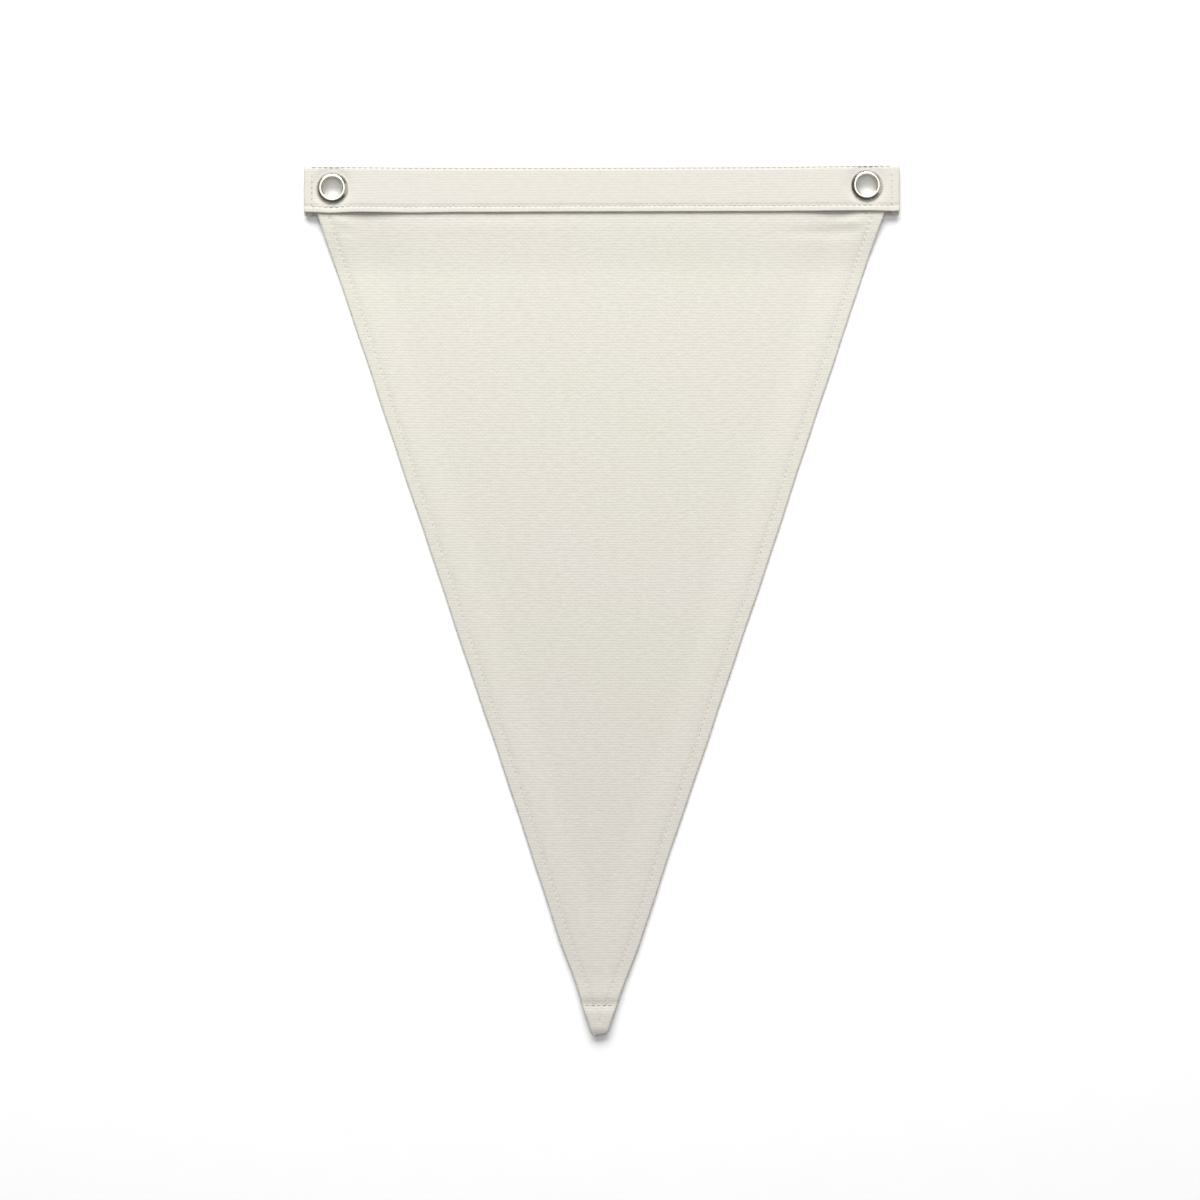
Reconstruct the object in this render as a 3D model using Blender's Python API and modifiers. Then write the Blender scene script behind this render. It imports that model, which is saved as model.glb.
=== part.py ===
"""Pennant flag of cotton canvas, lying face up: a hemmed triangle of cloth, a folded heading
sewn over its top edge, and two plated eyelets set through the ends of the heading.

Metres, +Z up. The origin is the middle of the flag's outline, on the surface it lies on.
+X runs to the right and +Y from the tip to the heading, as seen from the front.
"""
import math

import bmesh
import bpy

MM = 0.001

# Cloth
CLOTH = 1.0 * MM                # one ply of the canvas
REST_GAP = 0.3 * MM             # between pieces that touch
PRESSED_GAP = 0.1 * MM          # between two plies of one pressed fold

# Heading: a strip folded over the top edge of the body
HEADING_LENGTH = 312.6 * MM
HEADING_TOP = 228.25 * MM       # height of its top fold at the middle
HEADING_TILT = 0.0024           # rise of the heading to the right
HEADING_BOW = 0.022             # rise of both ends over the middle, for each metre squared
HEADING_BOTTOM = 204.35 * MM    # height of the front ply's lower edge at the middle
BACK_PLY_DROP = 2.2 * MM        # how far the back ply reaches below the front one
POCKET_MIDDLE = 1.6 * MM        # room between the plies, over the bare body
POCKET_END = 2.7 * MM           # the same, over the hems of the body
POCKET_GROWS = (100 * MM, 130 * MM)
HEADING_COLUMNS = 64
HEADING_PLY_ROWS = 8
FOLD_STEPS = 6

# Soft swells of the heading's lower edge: place along it, width and drop, in mm
EDGE_SWELLS = (
    {"at": -142.0, "width": 9.0, "drop": 0.55},
    {"at": -101.0, "width": 20.0, "drop": 0.30},
    {"at": -55.0, "width": 16.0, "drop": 0.12},
    {"at": 152.0, "width": 8.0, "drop": 0.30},
)

# Body: the triangle, whose sides are measured at the corner under the heading
CORNER_HEIGHT = 202.9 * MM
LEFT_CORNER = -149.98 * MM
RIGHT_CORNER = 148.88 * MM
LEFT_LEAN = 0.3323              # sideways for each metre up
RIGHT_LEAN = 0.3360
BODY_TOP = 208.6 * MM           # raw top edge, inside the heading
HEM = 7.0 * MM                  # width of the turned hems
HEM_FADE = 20.0 * MM            # over which the front sinks from the hem to the single ply
HEM_SHARE = 0.8                 # of the half width, the most that a hem takes near the tip
BODY_ROWS = 46
ROW_CROWDING = 0.085            # how much closer the rows stand at both ends
INNER_STEPS = 6
FADE_STEPS = 4

# Tip: pinched in, thick with the crossed hems and cut blunt
PINCH = 1.35 * MM
PINCH_HEIGHTS = (-176 * MM, -208 * MM)
TIP_BULK = 1.0 * MM
TIP_BULK_HEIGHTS = (-196 * MM, -216 * MM)
TIP_ROUND = 3.2 * MM            # height over which the end's corners are rounded off
TIP_SLANT = 1.6 * MM            # rise of the blunt end to the right
TIP_CORNER_CUT = 1.4 * MM

# The ends of the heading ride up over the flanges of the eyelets
LIFT = 1.2 * MM
LIFT_GROWS = (88 * MM, 130 * MM)
RISE_LENGTH = 34 * MM           # over which the body climbs from the surface into the heading
RISE_END = 1.6 * MM             # how far before the heading's back ply it is up

# Eyelets
EYELETS = (
    {"name": "eyelet_left", "x": -141.4 * MM, "y": 216.1 * MM},
    {"name": "eyelet_right", "x": 138.9 * MM, "y": 217.5 * MM},
)
EYELET_HOLE_RADIUS = 5.5 * MM
BARREL_WALL = 0.7 * MM
RIM_RADIUS = 1.4 * MM           # of the rolled rim's section
FLANGE_RADIUS = 8.3 * MM
FLANGE_HEIGHT = 0.9 * MM
FLANGE_ROUND = 0.35 * MM
PIN_LENGTH = 40 * MM            # of the pins that cut the holes
EYELET_STEPS = 48
RIM_STEPS = 12
ROUND_STEPS = 3

COLOURS = {
    "canvas_body": {"hex": "E6E3D8", "roughness": 0.95, "metallic": 0.0},
    "canvas_heading": {"hex": "EDE9E0", "roughness": 0.95, "metallic": 0.0},
    "nickel_plate": {"hex": "CFCBC2", "roughness": 0.25, "metallic": 1.0},
}


def smooth_step(value, start, end):
    """0 before start, 1 past end, and an even S-curve between them."""
    share = min(max((value - start) / (end - start), 0.0), 1.0)
    return share * share * (3.0 - 2.0 * share)


def to_linear(hex_colour):
    """An sRGB hex colour as linear RGBA."""
    channels = [int(hex_colour[i:i + 2], 16) / 255 for i in (0, 2, 4)]
    return [c / 12.92 if c <= 0.04045 else ((c + 0.055) / 1.055) ** 2.4 for c in channels] + [1.0]


def make_material(name):
    look = COLOURS[name]
    material = bpy.data.materials.new(name)
    material.use_nodes = True
    shader = material.node_tree.nodes["Principled BSDF"]
    shader.inputs["Base Color"].default_value = to_linear(look["hex"])
    shader.inputs["Roughness"].default_value = look["roughness"]
    shader.inputs["Metallic"].default_value = look["metallic"]
    return material


def end_lift(x):
    """How far the heading's underside stands off the surface at x."""
    return LIFT * smooth_step(abs(x), *LIFT_GROWS)


def heading_top(x):
    """Height of the heading's top fold at x: a slight tilt and bow."""
    return HEADING_TOP + HEADING_TILT * x + HEADING_BOW * x * x


def heading_bottom(x):
    """Height of the front ply's lower edge at x, with its soft swells."""
    drop = sum(s["drop"] * math.exp(-((x / MM - s["at"]) / s["width"]) ** 2) for s in EDGE_SWELLS)
    return HEADING_BOTTOM + HEADING_TILT * x - drop * MM


def side_edges(y):
    """The body's left and right outline at height y, pinched towards the tip."""
    pinch = PINCH * smooth_step(y, *PINCH_HEIGHTS)
    left = LEFT_CORNER + LEFT_LEAN * (CORNER_HEIGHT - y) + pinch
    right = RIGHT_CORNER - RIGHT_LEAN * (CORNER_HEIGHT - y) - pinch
    return left, right


def body_rise(x, y):
    """How far the body's underside stands off the surface: up into the heading at its top."""
    up = HEADING_BOTTOM - BACK_PLY_DROP - RISE_END
    share = smooth_step(y, up - RISE_LENGTH, up)
    return share * (end_lift(x) + CLOTH + REST_GAP)


def cloth_from_grid(name, columns, rows, place, collection, material):
    """A grid whose points are placed by place(column, row), with the canvas's thickness."""
    shape = bmesh.new()
    bmesh.ops.create_grid(shape, x_segments=columns, y_segments=rows, size=0.5)
    for vertex in shape.verts:
        column = round((vertex.co.x + 0.5) * columns)
        row = round((vertex.co.y + 0.5) * rows)
        vertex.co = place(column, row)
    mesh = bpy.data.meshes.new(name)
    shape.to_mesh(mesh)
    shape.free()
    mesh.shade_smooth()
    piece = bpy.data.objects.new(name, mesh)
    collection.objects.link(piece)
    mesh.materials.append(material)
    solid = piece.modifiers.new("ply", "SOLIDIFY")
    solid.thickness = CLOTH
    solid.offset = 0.0
    solid.use_even_offset = True
    return piece


def body_height(y_share):
    """Rows run from the tip to the top, closer together at both ends."""
    tip = -heading_top(HEADING_LENGTH / 2)
    wave = ROW_CROWDING * math.sin(2 * math.pi * y_share)
    return tip + (BODY_TOP - tip) * (y_share - wave)


def half_section(half_width, ply_distance):
    """Points across half the body from the hem's raw edge, round the fold and to the middle.

    Each point is its distance in from the folded edge and its height over the lower ply.
    Between the hems the front sags, less where they are too close for it to reach the surface.
    """
    fold = ply_distance / 2
    reach = min(HEM, HEM_SHARE * half_width)
    span = min(HEM_FADE, half_width - reach)
    sag = ply_distance * (span / HEM_FADE) ** 2
    fade_end = reach + min(HEM_FADE, (half_width - reach) / 2)
    points = [(reach, 0.0), ((reach + fold) / 2, 0.0)]
    for step in range(FOLD_STEPS + 1):
        angle = math.pi * step / FOLD_STEPS
        points.append((fold - fold * math.sin(angle), fold - fold * math.cos(angle)))
    points.append(((reach + fold) / 2, ply_distance))
    inward = [reach + (fade_end - reach) * step / FADE_STEPS for step in range(FADE_STEPS)]
    inward += [fade_end + (half_width - fade_end) * step / INNER_STEPS for step in range(INNER_STEPS + 1)]
    for place in inward:
        points.append((place, ply_distance - sag * smooth_step(place, reach, reach + span)))
    return points


def make_body(collection, material):
    """The triangle with its turned hems, as one bent surface given the ply's thickness."""
    sections = []
    for row in range(BODY_ROWS + 1):
        y = body_height(row / BODY_ROWS)
        left, right = side_edges(y)
        left += CLOTH / 2
        right -= CLOTH / 2
        bulk = TIP_BULK * smooth_step(y, *TIP_BULK_HEIGHTS)
        end = 1 - min((y - body_height(0)) / TIP_ROUND, 1.0)
        cut = TIP_CORNER_CUT * end * end
        points = half_section((right - left) / 2 - cut, CLOTH + PRESSED_GAP + bulk)
        across = [(left + cut + inward, z) for inward, z in points]
        across += [(right - cut - inward, z) for inward, z in reversed(points[:-1])]
        slant = TIP_SLANT * end / (right - left)
        low = CLOTH / 2
        sections.append([(x, y + slant * (x - left), low + z + body_rise(x, y)) for x, z in across])
    columns = len(sections[0]) - 1
    return cloth_from_grid("flag_body", columns, BODY_ROWS, lambda column, row: sections[row][column],
                           collection, material)


def make_heading(collection, material, hole_cutter):
    """The strip: a back ply, the top fold and a front ply, with the eyelet holes cut through."""
    half = HEADING_LENGTH / 2

    def section(x):
        pocket = POCKET_MIDDLE + (POCKET_END - POCKET_MIDDLE) * smooth_step(abs(x), *POCKET_GROWS)
        fold = (CLOTH + pocket) / 2
        low = CLOTH / 2 + end_lift(x)
        top = heading_top(x) - CLOTH / 2 - fold
        bottom = heading_bottom(x)
        back_bottom = bottom - BACK_PLY_DROP
        points = []
        for row in range(HEADING_PLY_ROWS):
            points.append((back_bottom + (top - back_bottom) * row / HEADING_PLY_ROWS, low))
        for step in range(FOLD_STEPS + 1):
            angle = math.pi * step / FOLD_STEPS
            points.append((top + fold * math.sin(angle), low + fold - fold * math.cos(angle)))
        for row in range(1, HEADING_PLY_ROWS + 1):
            points.append((top + (bottom - top) * row / HEADING_PLY_ROWS, low + 2 * fold))
        return points

    places = [half * (2 * column / HEADING_COLUMNS - 1) for column in range(HEADING_COLUMNS + 1)]
    sections = [section(x) for x in places]
    heading = cloth_from_grid(
        "heading", HEADING_COLUMNS, len(sections[0]) - 1,
        lambda column, row: (places[column], *sections[column][row]), collection, material)
    holes = heading.modifiers.new("eyelet_holes", "BOOLEAN")
    holes.operation = "DIFFERENCE"
    holes.operand_type = "COLLECTION"
    holes.collection = hole_cutter
    return heading


def make_hole_cutters(cutters):
    """One upright pin for each eyelet, a gap wider than its barrel."""
    radius = EYELET_HOLE_RADIUS + BARREL_WALL + REST_GAP
    for eyelet in EYELETS:
        bpy.ops.mesh.primitive_cylinder_add(vertices=EYELET_STEPS, radius=radius, depth=PIN_LENGTH,
                                            location=(eyelet["x"], eyelet["y"], 0))
        pin = bpy.context.object
        pin.name = eyelet["name"] + "_hole"
        pin.hide_render = True
        pin.display_type = "WIRE"
        for owner in list(pin.users_collection):
            owner.objects.unlink(pin)
        cutters.objects.link(pin)


def arc(centre, radius, start, turn, steps):
    """Points clockwise round a centre (distance from the axis, height), both ends included."""
    angles = [start - turn * step / steps for step in range(steps + 1)]
    return [(centre[0] + radius * math.cos(angle), centre[1] + radius * math.sin(angle)) for angle in angles]


def eyelet_profile():
    """The eyelet's section, down its outer side and up its bore: rim, barrel and back flange."""
    quarter = math.pi / 2
    rim_middle = (EYELET_HOLE_RADIUS + RIM_RADIUS, LIFT + 2 * CLOTH + POCKET_END + REST_GAP)
    barrel = EYELET_HOLE_RADIUS + BARREL_WALL
    flange_edge = FLANGE_RADIUS - FLANGE_ROUND
    points = arc(rim_middle, RIM_RADIUS, quarter, quarter, RIM_STEPS // 2)
    points += [(barrel, rim_middle[1]), (barrel, FLANGE_HEIGHT)]
    points += arc((flange_edge, FLANGE_HEIGHT - FLANGE_ROUND), FLANGE_ROUND, quarter, quarter, ROUND_STEPS)
    points += arc((flange_edge, FLANGE_ROUND), FLANGE_ROUND, 0.0, quarter, ROUND_STEPS)
    mouth = (EYELET_HOLE_RADIUS + FLANGE_ROUND, FLANGE_ROUND)
    points += arc(mouth, FLANGE_ROUND, -quarter, quarter, ROUND_STEPS)
    points += arc(rim_middle, RIM_RADIUS, 2 * quarter, quarter, RIM_STEPS // 2)[:-1]
    return points


def make_eyelet(eyelet, collection, material):
    """A turned ring: its closed section swept once round the upright axis."""
    profile = [(r, 0.0, z) for r, z in eyelet_profile()]
    edges = [(i, (i + 1) % len(profile)) for i in range(len(profile))]
    mesh = bpy.data.meshes.new(eyelet["name"])
    mesh.from_pydata(profile, edges, [])
    ring = bpy.data.objects.new(eyelet["name"], mesh)
    ring.location = (eyelet["x"], eyelet["y"], 0)
    collection.objects.link(ring)
    mesh.materials.append(material)
    turn = ring.modifiers.new("turned", "SCREW")
    turn.axis = "Z"
    turn.angle = 2 * math.pi
    turn.steps = EYELET_STEPS
    turn.render_steps = EYELET_STEPS
    turn.use_merge_vertices = True
    turn.merge_threshold = 0.00001
    turn.use_smooth_shade = True


def main():
    for old in list(bpy.data.objects):
        bpy.data.objects.remove(old, do_unlink=True)
    flag = bpy.data.collections.new("pennant_flag")
    cutters = bpy.data.collections.new("cutters")
    for collection in (flag, cutters):
        bpy.context.scene.collection.children.link(collection)
    make_hole_cutters(cutters)
    make_body(flag, make_material("canvas_body"))
    make_heading(flag, make_material("canvas_heading"), cutters)
    plate = make_material("nickel_plate")
    for eyelet in EYELETS:
        make_eyelet(eyelet, flag, plate)


main()
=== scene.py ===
"""The looks of a canvas pennant flag, lying face up under soft studio light.

The cloth is two rounded plies worked out as grids: the hemmed triangle and the folded heading.
Threads, thread knots and the two plated eyelets lie on and in them. Metres, +Z up, in the frame.
"""
import math

import bpy
import numpy as np
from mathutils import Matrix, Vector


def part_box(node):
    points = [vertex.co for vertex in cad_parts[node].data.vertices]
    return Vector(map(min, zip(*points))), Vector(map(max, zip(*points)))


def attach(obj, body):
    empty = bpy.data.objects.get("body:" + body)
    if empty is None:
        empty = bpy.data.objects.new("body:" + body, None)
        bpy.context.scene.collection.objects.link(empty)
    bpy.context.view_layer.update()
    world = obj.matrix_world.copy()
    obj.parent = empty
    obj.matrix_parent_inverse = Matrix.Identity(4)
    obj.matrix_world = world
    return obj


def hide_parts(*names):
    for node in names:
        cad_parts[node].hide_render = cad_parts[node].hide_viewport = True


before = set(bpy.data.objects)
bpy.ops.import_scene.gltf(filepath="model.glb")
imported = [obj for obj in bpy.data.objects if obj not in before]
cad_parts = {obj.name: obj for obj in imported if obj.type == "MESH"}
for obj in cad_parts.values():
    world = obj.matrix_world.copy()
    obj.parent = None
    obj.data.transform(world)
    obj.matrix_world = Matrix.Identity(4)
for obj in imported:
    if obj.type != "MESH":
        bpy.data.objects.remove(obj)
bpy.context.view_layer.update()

MM = 0.001

# Cloth
CLOTH = 1.0 * MM
REST_GAP = 0.3 * MM
PRESSED_GAP = 0.1 * MM
WARP_PITCH = 0.752 * MM         # threads that run from heading to tip
WEFT_PITCH = 1.40 * MM          # thicker threads that run from side to side
RIM_STEPS = 3                   # rings that round off a ply's edge

# Heading
HEADING_LOW, HEADING_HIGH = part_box("heading")
HEADING_LENGTH = HEADING_HIGH.x - HEADING_LOW.x
HEADING_TOP = 228.25 * MM
HEADING_TILT = 0.0024
HEADING_BOW = 0.022
HEADING_BOTTOM = 203.65 * MM
BACK_PLY_DROP = 1.5 * MM
POCKET_MIDDLE = 1.6 * MM
POCKET_END = 2.7 * MM
POCKET_GROWS = (100 * MM, 130 * MM)
EDGE_SWELLS = (
    {"at": -142.0, "width": 9.0, "drop": 0.55},
    {"at": -101.0, "width": 20.0, "drop": 0.30},
    {"at": -55.0, "width": 16.0, "drop": 0.12},
    {"at": 152.0, "width": 8.0, "drop": 0.30},
)
END_TURN_IN = 3.0 * MM          # cloth tucked into the pocket at both ends
HEADING_COLUMNS = 500

# Body
BODY_LOW, BODY_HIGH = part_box("flag_body")
CORNER_HEIGHT = 202.9 * MM
LEFT_CORNER = -149.98 * MM
RIGHT_CORNER = 148.88 * MM
LEFT_LEAN = 0.3323
RIGHT_LEAN = 0.3360
BODY_TOP = 208.6 * MM
HEM = 7.0 * MM
HEM_FADE = 20.0 * MM
HEM_SHARE = 0.8                 # of the half width, the most that a hem takes near the tip
CREASE_FADE = 5.0 * MM
BODY_ROWS = 276
ROW_CROWDING = 0.085

# How far the sewn sides lie inside the straight ones, in mm
SIDE_TRIM = (
    {"y": -216.0, "left": 0.0, "right": -0.3},
    {"y": -200.0, "left": 0.5, "right": 0.0},
    {"y": -132.0, "left": 1.2, "right": 0.2},
    {"y": 0.0, "left": 0.8, "right": 0.0},
    {"y": 158.0, "left": 0.5, "right": 0.9},
    {"y": 203.0, "left": 0.3, "right": 0.5},
)

# Tip
PINCH = 1.35 * MM
PINCH_HEIGHTS = (-176 * MM, -208 * MM)
TIP_BULK = 1.0 * MM
TIP_BULK_HEIGHTS = (-196 * MM, -216 * MM)
TIP_ROUND = 3.2 * MM
TIP_SLANT = 1.6 * MM
TIP_CORNER_CUT = 1.4 * MM
TACK_HEIGHT = -212.6 * MM       # the seam sewn across the tip
TACK_WIDTH = 3.0 * MM           # of the trough that it pulls into the cloth
TACK_DEPTH = 0.8 * MM
NOSE_LENGTH = 5.2 * MM          # over which the blunt end turns down
NOSE_DROP = 1.7 * MM

# Lift off the surface
LIFT = 1.2 * MM
LIFT_GROWS = (88 * MM, 130 * MM)
RISE_LENGTH = 34 * MM
RISE_END = -1.5 * MM            # how far before the back ply's edge it is up
TIP_LIFT = 1.8 * MM             # the tip curls a little off the surface
TIP_LIFT_LENGTH = 128 * MM

# Soft creases of the body under the heading: middle, reach across and along, and height
CREASES = (
    {"x": 131.0, "y": 198.3, "across": 12.0, "along": 2.2, "height": 0.30},
    {"x": 122.0, "y": 193.0, "across": 24.0, "along": 3.0, "height": -0.38},
    {"x": -140.0, "y": 198.5, "across": 7.0, "along": 2.2, "height": 0.32},
    {"x": -138.5, "y": 192.6, "across": 7.0, "along": 2.4, "height": -0.30},
    {"x": -60.0, "y": 196.0, "across": 40.0, "along": 3.5, "height": 0.10},
)

# Sewing
STITCH_PITCH = 2.98 * MM
STITCH_SHARE = 0.80             # of the pitch that shows as thread
THREAD_RADIUS = 0.26 * MM
TOP_STITCH_IN = 1.6 * MM        # from the heading's top fold
BOTTOM_STITCH_IN = 3.3 * MM     # from its lower edge
END_STITCH_IN = 4.2 * MM        # from its ends
HEM_STITCH_IN = 5.5 * MM        # from the body's folded sides
GROOVE_DEPTH = 0.30 * MM
GROOVE_WIDTH = 0.75 * MM

# Eyelets
EYELET_HOLE_RADIUS = 5.5 * MM
BARREL_WALL = 0.7 * MM
RIM_GAP = 0.05 * MM
RIM_SEAT = LIFT + 2 * CLOTH + POCKET_END + RIM_GAP
RIM_HEIGHT = 1.4 * MM
RIM_OUTSIDE = 8.2 * MM
RIM_EDGE = 0.4 * MM             # radius of its outer edge
MOUTH_ROUND = 0.45 * MM         # radius from the bore to the crown
CROWN_WIDTH = 0.6 * MM         # of its level top
SHOULDER_ROUND = 0.5 * MM       # radius from the crown to the flank
FLANK_TILT = 40                 # degrees from level
DENT_DEPTH = 0.55 * MM          # of the cloth pressed down round the rim
DENT_WIDTH = 2.4 * MM
FLANGE_RADIUS = 8.3 * MM
FLANGE_HEIGHT = 0.9 * MM
EYELETS = {name: sum(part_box(name), start=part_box(name)[0] * 0) / 2 for name in ("eyelet_left", "eyelet_right")}

# Photo: its scale and what it looks at
PIXEL = 0.526 * MM
PHOTO_SIDE = 1200
PHOTO_CENTRE = (-1.0 * MM, -0.1 * MM)
LENS_MM = 100
SENSOR_MM = 36


def smooth(value, start, end):
    """0 before start, 1 past end, and three times the square less twice the cube between."""
    share = np.clip((value - start) / (end - start), 0, 1)
    return share * share * (3 - 2 * share)


def blend(start, end, share):
    """The straight mix of start and end, row by row, at each share."""
    return start[:, None] + (end - start)[:, None] * share[None, :]


def bell(value, width):
    """A bell curve: e to the minus square of value over width."""
    return np.exp(-(value / width) ** 2)


def end_lift(x):
    return LIFT * smooth(np.abs(x), *LIFT_GROWS)


def heading_top(x):
    """Top fold: a straight line with a slight tilt and a square-law bow."""
    return HEADING_TOP + HEADING_TILT * x + HEADING_BOW * x * x


def heading_bottom(x):
    """Lower edge: a tilted line less one bell for each swell."""
    drop = sum(s["drop"] * bell(x / MM - s["at"], s["width"]) for s in EDGE_SWELLS)
    return HEADING_BOTTOM + HEADING_TILT * x - drop * MM


def pocket(x):
    """Room between the heading's plies, wider over the hems."""
    return POCKET_MIDDLE + (POCKET_END - POCKET_MIDDLE) * smooth(np.abs(x), *POCKET_GROWS)


def side_edges(y):
    """Folded sides: straight lines, pinched near the tip, that wander a little."""
    pinch = PINCH * smooth(y, *PINCH_HEIGHTS)
    wander = 0.12 * MM * np.sin(y / (17 * MM)) + 0.08 * MM * np.sin(y / (6.3 * MM) + 1)
    places = [row["y"] * MM for row in SIDE_TRIM]
    left_trim = np.interp(y, places, [row["left"] * MM for row in SIDE_TRIM])
    right_trim = np.interp(y, places, [row["right"] * MM for row in SIDE_TRIM])
    left = LEFT_CORNER + LEFT_LEAN * (CORNER_HEIGHT - y) + pinch + left_trim + wander
    right = RIGHT_CORNER - RIGHT_LEAN * (CORNER_HEIGHT - y) - pinch - right_trim + wander
    return left, right


def body_rise(x, y):
    """Height of the body's underside: an S-curve up into the heading, and a parabola at the tip."""
    up = HEADING_BOTTOM - BACK_PLY_DROP - RISE_END
    curl = np.clip((BODY_LOW.y + TIP_LIFT_LENGTH - y) / TIP_LIFT_LENGTH, 0, 1)
    return smooth(y, up - RISE_LENGTH, up) * (end_lift(x) + CLOTH + REST_GAP) + TIP_LIFT * curl ** 2


def ply_distance(y):
    """From the hem's ply to the front one, more where the hems cross at the tip."""
    return CLOTH + PRESSED_GAP + TIP_BULK * smooth(y, *TIP_BULK_HEIGHTS)


def tip_relief(y):
    """Front of the tip: a bell-shaped trough at the tack, and an end that turns down as a parabola."""
    trough = -TACK_DEPTH * bell(y - TACK_HEIGHT, TACK_WIDTH)
    past = np.clip((BODY_LOW.y + NOSE_LENGTH - y) / NOSE_LENGTH, 0, 1)
    return trough - NOSE_DROP * past ** 2


def dimples(distance):
    """Depth of a stitched groove along its line: deepest where the thread goes in, between stitches."""
    return 0.7 + 0.3 * np.cos(2 * math.pi * (distance / STITCH_PITCH + (1 - STITCH_SHARE) / 2))


def new_piece(name, points, faces, uv=None):
    """A smooth-shaded mesh from whole arrays, with the cloth's flat place as its UV map."""
    mesh = bpy.data.meshes.new(name)
    mesh.from_pydata(points.reshape(-1, 3), [], faces)
    if uv is not None:
        corners = np.empty(len(mesh.loops), np.int32)
        mesh.loops.foreach_get("vertex_index", corners)
        layer = mesh.uv_layers.new(name="cloth")
        layer.data.foreach_set("uv", uv.reshape(-1, 2)[corners].ravel())
    mesh.shade_smooth()
    mesh.validate()
    piece = bpy.data.objects.new(name, mesh)
    bpy.context.scene.collection.objects.link(piece)
    return piece


def extend(grid, thickness, axis):
    """Adds rings past both ends of a grid, at half the thickness times the sine of even angles."""
    grid = np.moveaxis(grid, axis, 0)
    angles = np.linspace(0, math.pi / 2, RIM_STEPS + 1)[1:]
    reach = (thickness / 2 * np.sin(angles))[:, None, None]
    ends = []
    for edge, inner in ((grid[0], grid[1]), (grid[-1], grid[-2])):
        outward = (edge - inner)[..., :3]
        step = (edge - inner) / np.linalg.norm(outward, axis=-1, keepdims=True)
        ends.append(edge[None] + step[None] * reach)
    grid = np.concatenate([ends[0][::-1], grid, ends[1]])
    return np.moveaxis(grid, 0, axis)


def rim_fall(count):
    """Share of the half thickness at each ring: the cosine of the same angles at both ends."""
    falls = np.cos(np.linspace(0, math.pi / 2, RIM_STEPS + 1)[1:])
    falls[-1] = 0
    return np.concatenate([falls[::-1], np.ones(count - 2 * RIM_STEPS), falls])


def rounded_ply(name, middle, uv, relief, thickness=CLOTH):
    """Two skins half a thickness off a middle surface, which meet in a round rim.

    The normal is the cross product of the grid's two directions. The half thickness falls
    to nothing at the border as a quarter circle does, and relief is added to the front skin.
    """
    packed = np.concatenate([middle, uv, relief[..., None]], axis=-1)
    packed = extend(extend(packed, thickness, 0), thickness, 1)
    middle, uv, relief = packed[..., :3], packed[..., 3:5], packed[..., 5]
    rows, columns = relief.shape
    normal = np.cross(np.gradient(middle, axis=1), np.gradient(middle, axis=0))
    normal /= np.linalg.norm(normal, axis=-1, keepdims=True)
    fall = np.outer(rim_fall(rows), rim_fall(columns))
    front = middle + normal * (fall * (thickness / 2 + relief))[..., None]
    back = middle - normal * (fall * thickness / 2)[..., None]
    index = np.arange(rows * columns).reshape(rows, columns)
    inside = fall > 0
    back_index = index.copy()
    back_index[inside] = rows * columns + np.arange(inside.sum())
    points = np.concatenate([front.reshape(-1, 3), back[inside]])
    flat = np.concatenate([uv.reshape(-1, 2), uv[inside]])
    quads = [np.stack([i[:-1, :-1], i[:-1, 1:], i[1:, 1:], i[1:, :-1]], axis=-1).reshape(-1, 4)
             for i in (index, back_index)]
    faces = np.concatenate([quads[0][:, ::-1], quads[1]])
    return new_piece(name, points, faces.tolist(), flat)


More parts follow.
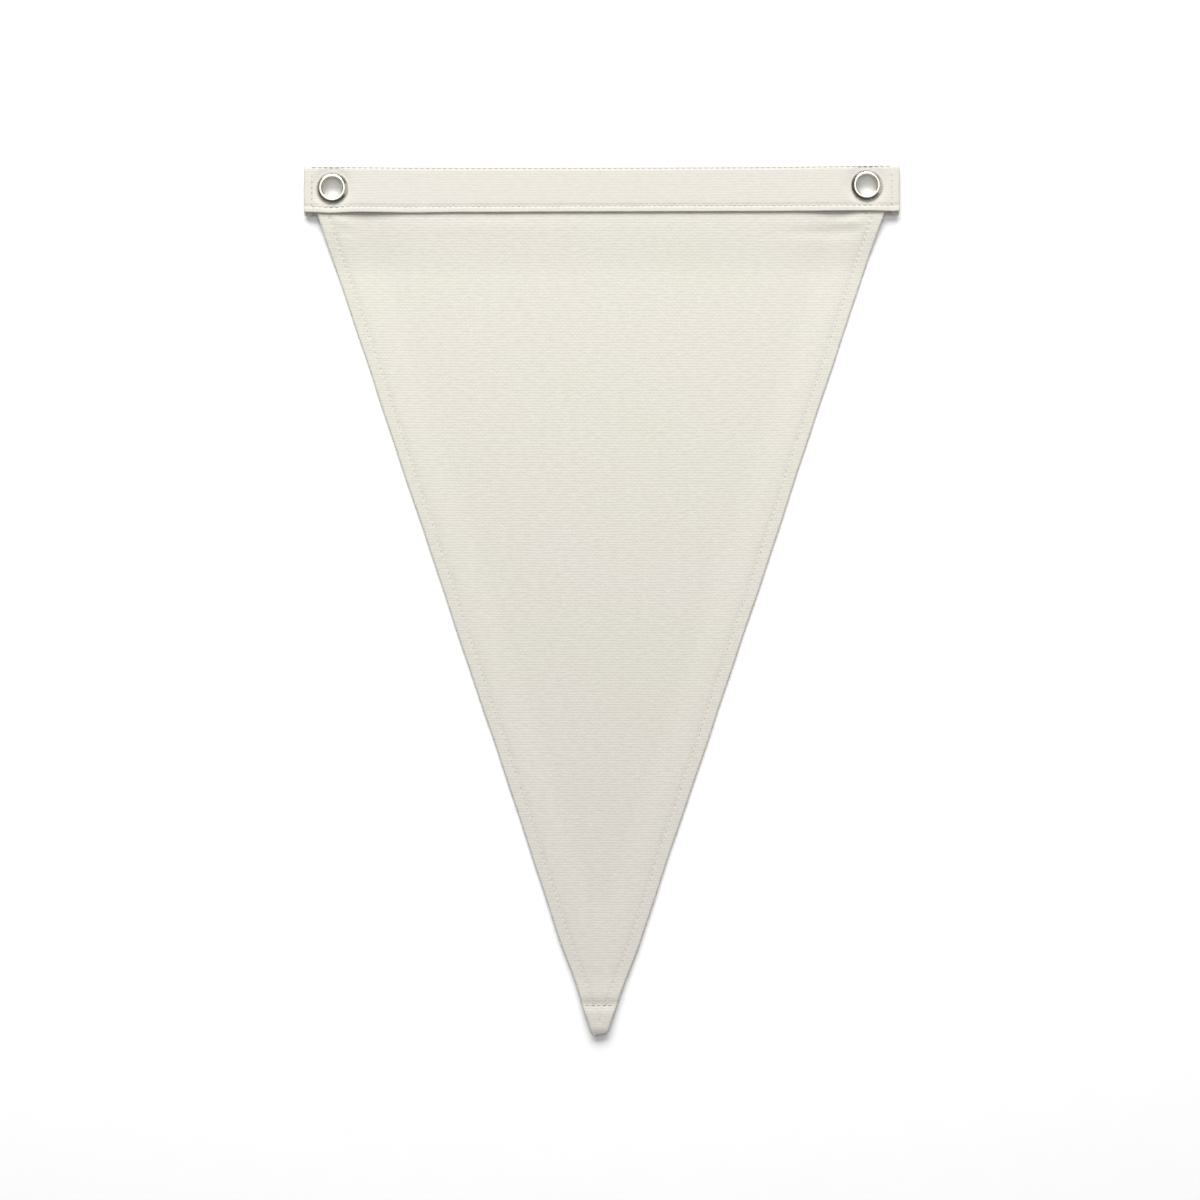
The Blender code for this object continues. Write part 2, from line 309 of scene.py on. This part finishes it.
def make_body():
    """The hemmed triangle: rows from tip to top, each a section round both folded hems."""
    share = np.linspace(0, 1, BODY_ROWS)
    tip = -float(heading_top(HEADING_LENGTH / 2))
    y = tip + CLOTH / 2 + (BODY_TOP - tip - CLOTH / 2) * (share - ROW_CROWDING * np.sin(2 * math.pi * share))
    left, right = side_edges(y)
    left = left + CLOTH / 2
    right = right - CLOTH / 2
    end = 1 - np.clip((y - tip) / TIP_ROUND, 0, 1)
    cut = TIP_CORNER_CUT * end ** 2
    half = (right - left) / 2 - cut
    ply = ply_distance(y)
    fold = ply / 2
    reach = np.minimum(HEM, HEM_SHARE * half)
    span = np.minimum(HEM_FADE, half - reach)
    sag = ply * (span / HEM_FADE) ** 2
    fade_end = reach + np.minimum(HEM_FADE, (half - reach) / 2)

    under = blend(reach, fold, np.linspace(0, 1, 13)[:-1])
    angle = np.linspace(0, math.pi, 11)
    over = blend(fold, reach, np.linspace(0, 1, 17)[1:])
    fade = blend(reach, fade_end, np.linspace(0, 1, 11)[1:])
    inner = blend(fade_end, half, np.linspace(0, 1, 31)[1:] ** 1.35)
    arc = fold[:, None] * (1 - np.sin(angle))
    inward = np.concatenate([under, arc, over, fade, inner], axis=1)
    height = ply[:, None] - sag[:, None] * smooth(inward, reach[:, None], (reach + span)[:, None])
    height[:, :under.shape[1]] = 0
    bend = slice(under.shape[1], under.shape[1] + len(angle))
    height[:, bend] = fold[:, None] * (1 - np.cos(angle))
    unfolded = inward.copy()
    unfolded[:, bend] = fold[:, None] * (1 - math.pi + angle)
    unfolded[:, :under.shape[1]] = fold[:, None] * (2 - math.pi) - under
    is_front = np.zeros_like(inward)
    is_front[:, bend.stop:] = 1
    is_front[:, bend] = smooth(angle, math.pi / 2, math.pi)

    def both(lefts, rights):
        return np.concatenate([lefts, rights[:, -2::-1]], axis=1)

    x = both((left + cut)[:, None] + inward, (right - cut)[:, None] - inward)
    u = both((left + cut)[:, None] + unfolded, (right - cut)[:, None] - unfolded)
    height, is_front, aside = both(height, height), both(is_front, is_front), both(unfolded, unfolded)
    slant = (TIP_SLANT * end / (right - left))[:, None] * (x - left[:, None])
    y = y[:, None] + slant
    single = smooth(aside, HEM, HEM + CREASE_FADE)
    creases = sum(c["height"] * MM * bell(x / MM - c["x"], c["across"]) * bell(y / MM - c["y"], c["along"])
                  for c in CREASES) * single
    middle = np.stack([x, y, CLOTH / 2 + height + body_rise(x, y) + creases + is_front * tip_relief(y)], axis=-1)
    slope = math.cos(math.atan(LEFT_LEAN))
    groove = bell(aside * slope - HEM_STITCH_IN, GROOVE_WIDTH) * dimples((y - TACK_HEIGHT) / slope)
    relief = -GROOVE_DEPTH * 0.8 * groove * is_front
    body = rounded_ply("canvas_body_cloth", middle, np.stack([u, y], axis=-1), relief)
    widths = u[:, -1] - u[:, 0]
    level = y.mean(axis=1)
    area = float(np.sum((widths[1:] + widths[:-1]) / 2 * np.diff(level)))
    return body, (float(widths.max()), float(y.max() - y.min())), area


def heading_section(x):
    """Points round the strip at each x: up the back ply, over the top fold and down the front."""
    fold = (CLOTH + pocket(x)) / 2
    low = CLOTH / 2 + end_lift(x)
    top = heading_top(x) - CLOTH / 2 - fold
    bottom = heading_bottom(x) + CLOTH / 2
    back_bottom = bottom - BACK_PLY_DROP
    up = np.linspace(0, 1, 15)[:-1]
    down = np.linspace(0, 1, 51)[1:]
    angle = np.linspace(0, math.pi, 13)
    y = np.concatenate([blend(back_bottom, top, up), top[:, None] + fold[:, None] * np.sin(angle),
                        blend(top, bottom, down)], axis=1)
    z = np.concatenate([np.repeat(low[:, None], len(up), 1),
                        (low + fold)[:, None] - fold[:, None] * np.cos(angle),
                        np.repeat((low + 2 * fold)[:, None], len(down), 1)], axis=1)
    flat = np.concatenate([blend(back_bottom - top - math.pi * fold, -math.pi * fold, up),
                           fold[:, None] * (angle - math.pi), blend(0 * top, top - bottom, down)], axis=1)
    front = np.concatenate([np.zeros(len(up)), smooth(angle, math.pi / 2, math.pi), np.ones(len(down))])
    return y, z, flat, np.repeat(front[None], len(x), 0)


def make_heading():
    """The folded strip: sections along x, turned into the pocket on a small half circle at both
    ends, with grooves under the stitches, a dent round each eyelet and two holes cut through."""
    turn = (CLOTH + PRESSED_GAP) / 2
    straight_end = HEADING_LENGTH / 2 - CLOTH / 2 - turn
    line = np.linspace(-straight_end, straight_end, HEADING_COLUMNS)
    curl = np.linspace(0, math.pi, 9)[1:]
    tuck = END_TURN_IN * np.linspace(0, 1, 6)[1:]
    past = np.concatenate([turn * np.sin(curl), -tuck])
    inset = np.concatenate([turn * (1 - np.cos(curl)), np.full(len(tuck), 2 * turn)])
    x = np.concatenate([(-straight_end - past)[::-1], line, straight_end + past])
    inset = np.concatenate([inset[::-1], 0 * line, inset])
    held = np.clip(x, -straight_end, straight_end)
    shape_x = np.concatenate([np.full(len(past), -straight_end), line, np.full(len(past), straight_end)])
    y, z, flat, front = heading_section(shape_x)
    section = np.stack([np.repeat(held[:, None], y.shape[1], 1), y, z], axis=-1)
    tangent = np.gradient(section, axis=1)
    inward = np.stack([0 * y, -tangent[..., 2], tangent[..., 1]], axis=-1)
    inward /= np.linalg.norm(inward, axis=-1, keepdims=True)
    middle = section + inward * inset[:, None, None]
    middle[..., 0] = x[:, None]
    outside = (np.abs(x) <= HEADING_LENGTH / 2)[:, None] * (inset < turn)[:, None]

    wide = x[:, None] + 0 * y
    top_line = heading_top(wide) - TOP_STITCH_IN
    bottom_line = heading_bottom(wide) + BOTTOM_STITCH_IN
    beat = dimples(wide + HEADING_LENGTH / 2 - END_STITCH_IN)
    grooves = 1.2 * bell(y - top_line, GROOVE_WIDTH) * beat
    grooves = grooves + 1.1 * bell(y - bottom_line, GROOVE_WIDTH * 1.2) * beat
    grooves = grooves + 0.8 * bell(np.abs(wide) - HEADING_LENGTH / 2 + END_STITCH_IN, GROOVE_WIDTH)
    puckers = 0.05 * MM * np.sin(wide / (3.1 * MM)) * bell(y - bottom_line + 2 * MM, 2.5 * MM)
    relief = -GROOVE_DEPTH * grooves + puckers
    for centre in EYELETS.values():
        away = np.hypot(wide - centre.x, y - centre.y)
        relief = relief - DENT_DEPTH * bell(away - RIM_OUTSIDE, DENT_WIDTH)
    uv = np.stack([wide, -flat], axis=-1)
    heading = rounded_ply("canvas_heading_cloth", middle, uv, relief * front * outside)
    cut_holes(heading)
    return heading, (HEADING_LENGTH + 2 * END_TURN_IN, float((flat[:, -1] - flat[:, 0]).mean()))


def cut_holes(heading):
    """Cuts an upright pin's round hole through all plies for each barrel."""
    for name, centre in EYELETS.items():
        bpy.ops.mesh.primitive_cylinder_add(vertices=64, radius=EYELET_HOLE_RADIUS + BARREL_WALL + 0.05 * MM,
                                            depth=0.04, location=(centre.x, centre.y, 0))
        pin = bpy.context.object
        cut = heading.modifiers.new(name, "BOOLEAN")
        cut.operation = "DIFFERENCE"
        cut.object = pin
        evaluated = heading.evaluated_get(bpy.context.evaluated_depsgraph_get())
        mesh = bpy.data.meshes.new_from_object(evaluated)
        heading.modifiers.clear()
        heading.data = mesh
        bpy.data.objects.remove(pin)


def threads(name, starts, ends, up, radius=THREAD_RADIUS, rings=7, sides=6):
    """One closed grain for each stitch, all in one mesh.

    Rings stand along the line from start to end. Their radius is the thread's times the square
    root of one less the fourth power of the place from -1 to 1, and their middle arches up by
    a parabola, so both ends dip into the cloth. A point closes each end.
    """
    starts, ends, up = np.atleast_2d(starts), np.atleast_2d(ends), np.broadcast_to(up, np.shape(starts))
    forward = ends - starts
    forward = forward / np.linalg.norm(forward, axis=1, keepdims=True)
    side = np.cross(forward, up)
    side /= np.linalg.norm(side, axis=1, keepdims=True)
    place = np.linspace(-1, 1, rings + 2)[1:-1]
    swell = radius * (1 - place ** 4) ** 0.5
    arch = radius * 0.9 * (1 - place ** 2) - radius * 0.55
    angle = np.arange(sides) * 2 * math.pi / sides
    middle = starts[:, None] + (ends - starts)[:, None] * ((place + 1) / 2)[None, :, None]
    middle = middle + up[:, None] * arch[None, :, None]
    ring = side[:, None, None] * np.cos(angle)[None, None, :, None] \
        + up[:, None, None] * np.sin(angle)[None, None, :, None]
    body = middle[:, :, None] + ring * swell[None, :, None, None]
    low = -0.55 * radius
    tips = np.stack([starts + up * low, ends + up * low], axis=1)
    points = np.concatenate([body.reshape(len(starts), -1, 3), tips], axis=1)
    index = np.arange(rings * sides).reshape(rings, sides)
    across = np.roll(index, -1, axis=1)
    quads = np.stack([index[:-1], index[1:], across[1:], across[:-1]], axis=-1).reshape(-1, 4)
    first, last = rings * sides, rings * sides + 1
    caps = [[first, a, b] for a, b in zip(index[0], across[0])] + [[last, b, a] for a, b in zip(index[-1], across[-1])]
    step = rings * sides + 2
    faces = []
    for base in range(0, len(starts) * step, step):
        faces += (quads + base).tolist()
        faces += [[corner + base for corner in cap] for cap in caps]
    piece = new_piece(name, points, faces)
    return piece


def stitches(path, up, pitch=STITCH_PITCH, shift=0.0):
    """Starts and ends of stitches at an even pitch along a path, by its length."""
    lengths = np.concatenate([[0], np.cumsum(np.linalg.norm(np.diff(path, axis=0), axis=1))])
    count = int((lengths[-1] - shift) / pitch)
    start = shift + pitch * np.arange(count)
    end = start + pitch * STITCH_SHARE

    def at(distance):
        return np.stack([np.interp(distance, lengths, path[:, i]) for i in range(3)], axis=1)

    return at(start), at(end)


def sew(name, paths, up):
    """One mesh of all the stitches along some paths."""
    pairs = [stitches(path, up) for path in paths]
    starts = np.concatenate([p[0] for p in pairs])
    ends = np.concatenate([p[1] for p in pairs])
    return threads(name, starts, ends, np.array(up, float))


def heading_front(x):
    """Height of the heading's front face."""
    return end_lift(x) + 2 * CLOTH + pocket(x)


def heading_paths(front):
    """The four topstitch lines of the heading, on its front or its back face."""
    span = HEADING_LENGTH / 2 - END_STITCH_IN
    x = np.linspace(-span, span, 400)
    sink = GROOVE_DEPTH
    height = heading_front(x) - sink if front else end_lift(x) + 0.05 * MM
    paths = [np.stack([x, heading_top(x) - TOP_STITCH_IN, height], axis=1),
             np.stack([x, heading_bottom(x) + BOTTOM_STITCH_IN, height], axis=1)]
    for end in (-span, span):
        y = np.linspace(float(heading_bottom(end)) + BOTTOM_STITCH_IN, float(heading_top(end)) - TOP_STITCH_IN, 20)
        level = float(heading_front(end)) - sink if front else float(end_lift(end)) + 0.05 * MM
        paths.append(np.stack([np.full(20, end), y, np.full(20, level)], axis=1))
    return paths


def hem_paths(front):
    """The stitch line of each side hem, from the tack at the tip up to the heading."""
    y = np.linspace(TACK_HEIGHT, HEADING_BOTTOM - 0.5 * MM, 500)
    left, right = side_edges(y)
    inward = HEM_STITCH_IN / math.cos(math.atan(LEFT_LEAN))
    half = (right - left) / 2
    inward = np.minimum(inward, 0.62 * half)
    paths = []
    for x in (left + inward, right - inward):
        rise = body_rise(x, y)
        level = rise + ply_distance(y) + CLOTH - 0.8 * GROOVE_DEPTH + tip_relief(y) if front else rise + 0.05 * MM
        paths.append(np.stack([x, y, level], axis=1))
    return paths


def tack_path():
    """The seam across the tip, in its groove."""
    left, right = side_edges(np.array([TACK_HEIGHT]))
    x = np.linspace(float(left[0]) + 1.6 * MM, float(right[0]) - 1.6 * MM, 12)
    level = float(ply_distance(TACK_HEIGHT) + CLOTH + tip_relief(TACK_HEIGHT) + body_rise(0, TACK_HEIGHT)) - 0.05 * MM
    return np.stack([x, np.full(12, TACK_HEIGHT), np.full(12, level)], axis=1)


KNOTS = (
    {"x": -136.2, "y": 203.2, "spread": 1.5, "count": 9},
    {"x": 138.9, "y": 204.0, "spread": 1.7, "count": 10},
)


def make_knots():
    """Back-stitched thread ends at the heading's lower edge: short grains that cross at odd angles."""
    draw = np.random.default_rng(7)
    starts, ends = [], []
    for knot in KNOTS:
        centre = np.array([knot["x"], knot["y"]]) * MM
        for _ in range(knot["count"]):
            turn = draw.uniform(0, math.pi)
            place = centre + draw.uniform(-1, 1, 2) * knot["spread"] * MM * np.array([1, 0.5])
            reach = draw.uniform(0.6, 1.1) * MM * np.array([math.cos(turn), math.sin(turn)])
            level = end_lift(place[0]) + CLOTH * 2 + REST_GAP + CLOTH * 1.15 + draw.uniform(0, 0.35) * MM
            starts.append([*(place - reach), level])
            ends.append([*(place + reach), level])
    return threads("thread_knots", np.array(starts), np.array(ends), np.array([0, 0, 1.0]), radius=0.24 * MM)


def arc(centre, radius, start, end, steps):
    """Points round a centre from one angle to another, in degrees."""
    angle = np.radians(np.linspace(start, end, steps + 1))
    return np.stack([centre[0] + radius * np.cos(angle), centre[1] + radius * np.sin(angle)], axis=1)


def eyelet_profile():
    """The eyelet's section in distance from its axis and height, as a closed loop.

    Down the outside: a level crown, a round shoulder, a straight flank to a round edge on the
    cloth, in to the barrel and down it to the back flange. Then up the bore and over its mouth.
    """
    bore, barrel = EYELET_HOLE_RADIUS, EYELET_HOLE_RADIUS + BARREL_WALL
    top = RIM_SEAT + RIM_HEIGHT
    mouth_middle = (bore + MOUTH_ROUND, top - MOUTH_ROUND)
    shoulder_middle = (bore + MOUTH_ROUND + CROWN_WIDTH, top - SHOULDER_ROUND)
    out, up = math.sin(math.radians(FLANK_TILT)), math.cos(math.radians(FLANK_TILT))
    across = RIM_OUTSIDE - RIM_EDGE - shoulder_middle[0]
    edge_height = shoulder_middle[1] + (SHOULDER_ROUND - RIM_EDGE - across * out) / up
    shoulder = arc(shoulder_middle, SHOULDER_ROUND, 90, 90 - FLANK_TILT, 6)
    edge = arc((RIM_OUTSIDE - RIM_EDGE, edge_height), RIM_EDGE, 90 - FLANK_TILT, -90, 8)
    neck = np.array([(barrel, RIM_SEAT - RIM_EDGE), (barrel, 2 * FLANGE_HEIGHT)])
    flange = arc((FLANGE_RADIUS - FLANGE_HEIGHT / 2, FLANGE_HEIGHT / 2), FLANGE_HEIGHT / 2, 90, -90, 8)
    back = arc((bore + BARREL_WALL, BARREL_WALL), BARREL_WALL, 270, 180, 5)
    mouth = arc(mouth_middle, MOUTH_ROUND, 180, 90, 6)
    return np.concatenate([shoulder, edge, neck, flange, back, mouth])


def make_eyelet(name, centre, steps=128):
    """The section swept once round: distance times cosine and sine of the angle, same height."""
    profile = eyelet_profile()
    angle = np.arange(steps) * 2 * math.pi / steps
    radius, height = profile[:, 0], profile[:, 1]
    points = np.stack([centre.x + np.outer(np.cos(angle), radius), centre.y + np.outer(np.sin(angle), radius),
                       np.repeat(height[None], steps, 0)], axis=-1)
    index = np.arange(steps * len(profile)).reshape(steps, -1)
    ahead, down = np.roll(index, -1, axis=0), np.roll(index, -1, axis=1)
    corner = np.roll(ahead, -1, axis=1)
    faces = np.stack([index, down, corner, ahead], axis=-1).reshape(-1, 4)
    return new_piece(name, points, faces.tolist())


def to_linear(hex_colour):
    """An sRGB hex colour as linear RGBA."""
    channels = [int(hex_colour[i:i + 2], 16) / 255 for i in (0, 2, 4)]
    return [c / 12.92 if c <= 0.04045 else ((c + 0.055) / 1.055) ** 2.4 for c in channels] + [1.0]


def add(tree, kind, settings=None, sockets=None):
    """Adds one node with its settings. A socket takes a value, or another node's output."""
    made = tree.nodes.new(kind)
    for key, value in (settings or {}).items():
        setattr(made, key, value)
    for key, value in (sockets or {}).items():
        if isinstance(value, bpy.types.NodeSocket):
            tree.links.new(value, made.inputs[key])
        else:
            made.inputs[key].default_value = value
    return made


def new_material(name):
    material = bpy.data.materials.new(name)
    material.use_nodes = True
    return material, material.node_tree, material.node_tree.nodes["Principled BSDF"]


def maths(tree, operation, first, second=0.0):
    return add(tree, "ShaderNodeMath", {"operation": operation}, {0: first, 1: second}).outputs[0]


def woven_canvas(name, warm, cool, low, gap_shade, contrast, relief):
    """Unbleached cotton duck, plain woven: round weft ribs tied down by finer warp threads.

    The eye sees faint even ribs from side to side, broken into dots where warp crosses weft,
    threads that are a little thicker in places, and soft warm and cool clouds in the undyed cotton,
    a shade pinker towards the tip.
    """
    material, tree, shader = new_material(name)
    flat = add(tree, "ShaderNodeUVMap", {"uv_map": "cloth"}).outputs["UV"]
    wobble = add(tree, "ShaderNodeTexNoise", None, {"Vector": flat, "Scale": 130.0, "Detail": 2.0}).outputs["Fac"]
    parts = add(tree, "ShaderNodeSeparateXYZ", None, {0: flat}).outputs
    across = maths(tree, "MULTIPLY", parts[0], math.pi / WARP_PITCH)
    along = maths(tree, "MULTIPLY", parts[1], math.pi / WEFT_PITCH)
    across = maths(tree, "ADD", across, maths(tree, "MULTIPLY", wobble, 2.2))
    along = maths(tree, "ADD", along, maths(tree, "MULTIPLY", wobble, 1.6))
    warp = maths(tree, "SINE", across)
    weft = maths(tree, "SINE", along)
    rib = maths(tree, "ABSOLUTE", weft)
    tie = maths(tree, "MULTIPLY_ADD", maths(tree, "MULTIPLY", warp, weft), 0.5)
    tie.node.inputs[2].default_value = 0.5
    slub_place = add(tree, "ShaderNodeMapping", None, {"Vector": flat, "Scale": (240.0, 620.0, 1.0)}).outputs[0]
    slub = add(tree, "ShaderNodeTexNoise", None, {"Vector": slub_place, "Scale": 1.0, "Detail": 2.0}).outputs["Fac"]
    fleck = add(tree, "ShaderNodeTexNoise", None, {"Vector": flat, "Scale": 900.0, "Detail": 1.0}).outputs["Fac"]
    height = maths(tree, "ADD", maths(tree, "MULTIPLY", rib, 0.55), maths(tree, "MULTIPLY", tie, 0.45))
    uneven = maths(tree, "ADD", maths(tree, "MULTIPLY", slub, 0.9), maths(tree, "MULTIPLY", fleck, 0.5))
    height = maths(tree, "ADD", height, maths(tree, "SUBTRACT", uneven, 0.7))
    cloud_place = add(tree, "ShaderNodeMapping", None, {"Vector": flat, "Scale": (7.0, 16.0, 1.0)}).outputs[0]
    cloud = add(tree, "ShaderNodeTexNoise", None, {"Vector": cloud_place, "Scale": 1.0, "Detail": 3.0}).outputs["Fac"]
    cloud = add(tree, "ShaderNodeMapRange", None, {"Value": cloud, "From Min": 0.35, "From Max": 0.65}).outputs[0]
    tint = add(tree, "ShaderNodeMix", {"data_type": "RGBA"},
               {"Factor": cloud, 6: to_linear(warm), 7: to_linear(cool)}).outputs[2]
    # Darker and pinker towards the tip.
    towards_tip = add(tree, "ShaderNodeMapRange", None,
               {"Value": parts[1], "From Min": 0.10, "From Max": -0.20, "To Max": 0.6}).outputs[0]
    tint = add(tree, "ShaderNodeMix", {"data_type": "RGBA"},
               {"Factor": towards_tip, 6: tint, 7: to_linear(low)}).outputs[2]
    # Painted shade: the weave's low places between the threads are mixed towards the darker gap colour, up to the
    # contrast share.
    depth = add(tree, "ShaderNodeMapRange", None,
                {"Value": height, "From Min": 0.15, "From Max": 0.95, "To Min": contrast, "To Max": 0.0}).outputs[0]
    colour = add(tree, "ShaderNodeMix", {"data_type": "RGBA"}, {"Factor": depth, 6: tint, 7: to_linear(gap_shade)})
    tree.links.new(colour.outputs[2], shader.inputs["Base Color"])
    bump = add(tree, "ShaderNodeBump", None, {"Height": height, "Strength": relief, "Distance": 0.18 * MM})
    tree.links.new(bump.outputs[0], shader.inputs["Normal"])
    shader.inputs["Roughness"].default_value = 0.96
    shader.inputs["Specular IOR Level"].default_value = 0.25
    shader.inputs["Sheen Weight"].default_value = 0.06
    shader.inputs["Sheen Roughness"].default_value = 0.5
    return material


def sewing_thread():
    """Spun polyester thread, undyed: a shade lighter and smoother than the cotton, faintly glossy."""
    material, tree, shader = new_material("spun_sewing_thread")
    place = add(tree, "ShaderNodeTexCoord").outputs["Object"]
    twist = add(tree, "ShaderNodeTexWave", {"bands_direction": "DIAGONAL"},
                {"Vector": place, "Scale": 900.0, "Distortion": 1.5, "Detail": 1.0}).outputs["Fac"]
    # Painted shade: where the twist's bump is low, in its grooves, the thread takes the darker tone.
    tint = add(tree, "ShaderNodeMix", {"data_type": "RGBA"},
               {"Factor": twist, 6: to_linear("B8B4AA"), 7: to_linear("C4C1B7")}).outputs[2]
    tree.links.new(tint, shader.inputs["Base Color"])
    bump = add(tree, "ShaderNodeBump", None, {"Height": twist, "Strength": 0.4, "Distance": 0.05 * MM})
    tree.links.new(bump.outputs[0], shader.inputs["Normal"])
    shader.inputs["Roughness"].default_value = 0.7
    return material


def nickel_plate():
    """Bright nickel plate over pressed brass: a mirror, warmer than chrome, with fine polishing haze."""
    material, tree, shader = new_material("bright_nickel_plate")
    place = add(tree, "ShaderNodeTexCoord").outputs["Object"]
    haze = add(tree, "ShaderNodeTexNoise", None, {"Vector": place, "Scale": 420.0, "Detail": 3.0}).outputs["Fac"]
    rough = add(tree, "ShaderNodeMapRange", None, {"Value": haze, "To Min": 0.16, "To Max": 0.30}).outputs[0]
    tint = add(tree, "ShaderNodeMix", {"data_type": "RGBA"},
               {"Factor": haze, 6: to_linear("D2CDC2"), 7: to_linear("DEDAD0")}).outputs[2]
    tree.links.new(tint, shader.inputs["Base Color"])
    tree.links.new(rough, shader.inputs["Roughness"])
    bump = add(tree, "ShaderNodeBump", None, {"Height": haze, "Strength": 0.15, "Distance": 0.03 * MM})
    tree.links.new(bump.outputs[0], shader.inputs["Normal"])
    shader.inputs["Metallic"].default_value = 1.0
    return material


def studio_card():
    """Matt white card: an even pale ground that lets soft shadows show."""
    material, tree, shader = new_material("matt_white_card")
    place = add(tree, "ShaderNodeTexCoord").outputs["Object"]
    grain = add(tree, "ShaderNodeTexNoise", None, {"Vector": place, "Scale": 40.0}).outputs["Fac"]
    tint = add(tree, "ShaderNodeMix", {"data_type": "RGBA"},
               {"Factor": grain, 6: to_linear("F4F4F4"), 7: to_linear("F6F6F6")}).outputs[2]
    tree.links.new(tint, shader.inputs["Base Color"])
    shader.inputs["Roughness"].default_value = 1.0
    shader.inputs["Specular IOR Level"].default_value = 0.0
    return material


def make_camera():
    """Straight down on the flag, from where the lens takes in the photo's square."""
    camera = bpy.data.objects.new("camera", bpy.data.cameras.new("camera"))
    camera.data.lens = LENS_MM
    camera.data.sensor_width = SENSOR_MM
    camera.data.sensor_fit = "AUTO"
    camera.location = (*PHOTO_CENTRE, PIXEL * PHOTO_SIDE * LENS_MM / SENSOR_MM)
    bpy.context.scene.collection.objects.link(camera)
    bpy.context.scene.camera = camera


def make_light(name, place, target, size, power):
    """A soft square panel that faces its target."""
    light = bpy.data.lights.new(name, "AREA")
    light.shape = "RECTANGLE"
    light.size, light.size_y = size
    light.energy = power
    panel = bpy.data.objects.new(name, light)
    panel.location = place
    direction = np.array(target, float) - np.array(place, float)
    panel.rotation_euler = (math.atan2(math.hypot(direction[0], direction[1]), -direction[2]), 0,
                            math.atan2(direction[0], -direction[1]) + math.pi)
    bpy.context.scene.collection.objects.link(panel)


def make_studio():
    bpy.ops.mesh.primitive_plane_add(size=8, location=(0, 0, -0.05 * MM))
    floor = bpy.context.object
    floor.name = "studio_floor"
    floor.data.materials.append(studio_card())
    make_light("window_panel", (-0.15, 1.9, 1.4), (0, 0.05, 0), (2.3, 1.3), 97.6)
    make_light("ceiling_panel", (0, 0.15, 2.5), (0, 0, 0), (2.2, 2.2), 25.4)
    make_light("right_reflector", (2.0, 0.2, 0.55), (0, 0.2, 0), (2.0, 1.0), 3.5)
    world = bpy.data.worlds.new("dim_room")
    world.use_nodes = True
    world.node_tree.nodes["Background"].inputs["Color"].default_value = (1, 1, 1, 1)
    world.node_tree.nodes["Background"].inputs["Strength"].default_value = 0.081
    bpy.context.scene.world = world
    bpy.context.scene.view_settings.view_transform = "Standard"


def dress(piece, material):
    """Gives a piece its material and body."""
    piece.data.materials.clear()
    piece.data.materials.append(material)
    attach(piece, "root")


make_camera()
make_studio()

thread = sewing_thread()
body, body_flat, body_area = make_body()
# The fourth colour of each cloth is the painted shade in the gaps of its weave.
dress(body, woven_canvas("cotton_duck_body", "D1CDC5", "CECCC1", "CDC8C3", "AAA69C", 0.45, 0.3))
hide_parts("flag_body")

heading, heading_flat = make_heading()
dress(heading, woven_canvas("cotton_duck_heading", "CDC9C2", "CBC8BF", "CCC8C1", "AFABA1", 0.4, 0.24))
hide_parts("heading")

UP, DOWN = (0, 0, 1), (0, 0, -1)
heading_sewing = sew("heading_topstitch", heading_paths(True), UP)
heading_sewing_back = sew("heading_bobbin_stitch", heading_paths(False), DOWN)
hem_sewing = sew("hem_stitch", hem_paths(True) + [tack_path()], UP)
hem_sewing_back = sew("hem_bobbin_stitch", hem_paths(False), DOWN)
knots = make_knots()
for piece in (heading_sewing, heading_sewing_back):
    dress(piece, thread)
for piece in (hem_sewing, hem_sewing_back, knots):
    dress(piece, thread)

plate = nickel_plate()
for name, centre in EYELETS.items():
    ring = make_eyelet(name + "_plated", centre)
    dress(ring, plate)
    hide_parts(name)
